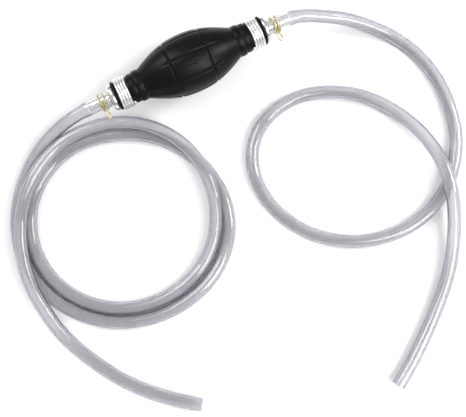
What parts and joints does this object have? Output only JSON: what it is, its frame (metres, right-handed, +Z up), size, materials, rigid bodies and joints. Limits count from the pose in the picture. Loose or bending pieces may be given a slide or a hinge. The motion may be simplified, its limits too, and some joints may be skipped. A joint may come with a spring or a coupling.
{
  "type": "hand primer siphon pump",
  "caption": "Hand siphon for aquarium cleaning: rubber squeeze bulb with a check-valve fitting and a clear hose at each end, hoses lying in loose loops.",
  "frame": {"origin": "on the standing surface, below the middle of the squeeze bulb", "axes": "+X along the bulb's axis in the direction of flow, from the inlet to the outlet; +Z up; both hoses lie on the -Y side"},
  "size_m": [0.3645, 0.3161, 0.046],
  "materials": {
    "black_rubber": "satin moulded black rubber",
    "seal_rubber": "matt rubber",
    "fitting_metal": "bright turned metal",
    "zinc_wire": "bright zinc-plated steel wire",
    "yellow_zinc_wire": "yellow zinc-plated spring wire",
    "spring_steel": "stainless spring wire",
    "valve_plastic": "natural white acetal",
    "clear_vinyl": "clear flexible vinyl, glossy"
  },
  "bodies": {
    "pump": {"inlet_connector": "fitting_metal", "inlet_valve_seat": "valve_plastic", "inlet_valve_spring": "spring_steel", "inlet_valve_cage": "valve_plastic", "inlet_neck_clamp": "zinc_wire", "inlet_hose_clamp": "yellow_zinc_wire", "outlet_connector": "fitting_metal", "outlet_valve_seat": "valve_plastic", "outlet_valve_spring": "spring_steel", "outlet_valve_cage": "valve_plastic", "outlet_neck_clamp": "zinc_wire", "outlet_hose_clamp": "yellow_zinc_wire", "inlet_hose_lead": "clear_vinyl", "inlet_hose_coil": "clear_vinyl", "inlet_hose_tail": "clear_vinyl", "outlet_hose": "clear_vinyl"},
    "bulb": {"primer_bulb": "black_rubber"},
    "inlet_valve": {"inlet_valve_poppet": "valve_plastic", "inlet_valve_seal": "seal_rubber"},
    "outlet_valve": {"outlet_valve_poppet": "valve_plastic", "outlet_valve_seal": "seal_rubber"}
  },
  "joints": [
    {"name": "bulb_squeeze", "type": "slide", "parent": "pump", "child": "bulb", "axis": [0, 0, -1], "range_m": [0, 0.01], "stiffness_N_per_m": 2000, "deforming": ["primer_bulb"]},
    {"name": "inlet_valve_open", "type": "slide", "parent": "pump", "child": "inlet_valve", "axis": [1, 0, 0], "range_m": [0, 0.0025], "stiffness_N_per_m": 20, "springref_m": -0.001, "deforming": ["inlet_valve_spring"]},
    {"name": "outlet_valve_open", "type": "slide", "parent": "pump", "child": "outlet_valve", "axis": [1, 0, 0], "range_m": [0, 0.0025], "stiffness_N_per_m": 20, "springref_m": -0.001, "deforming": ["outlet_valve_spring"]}
  ]
}
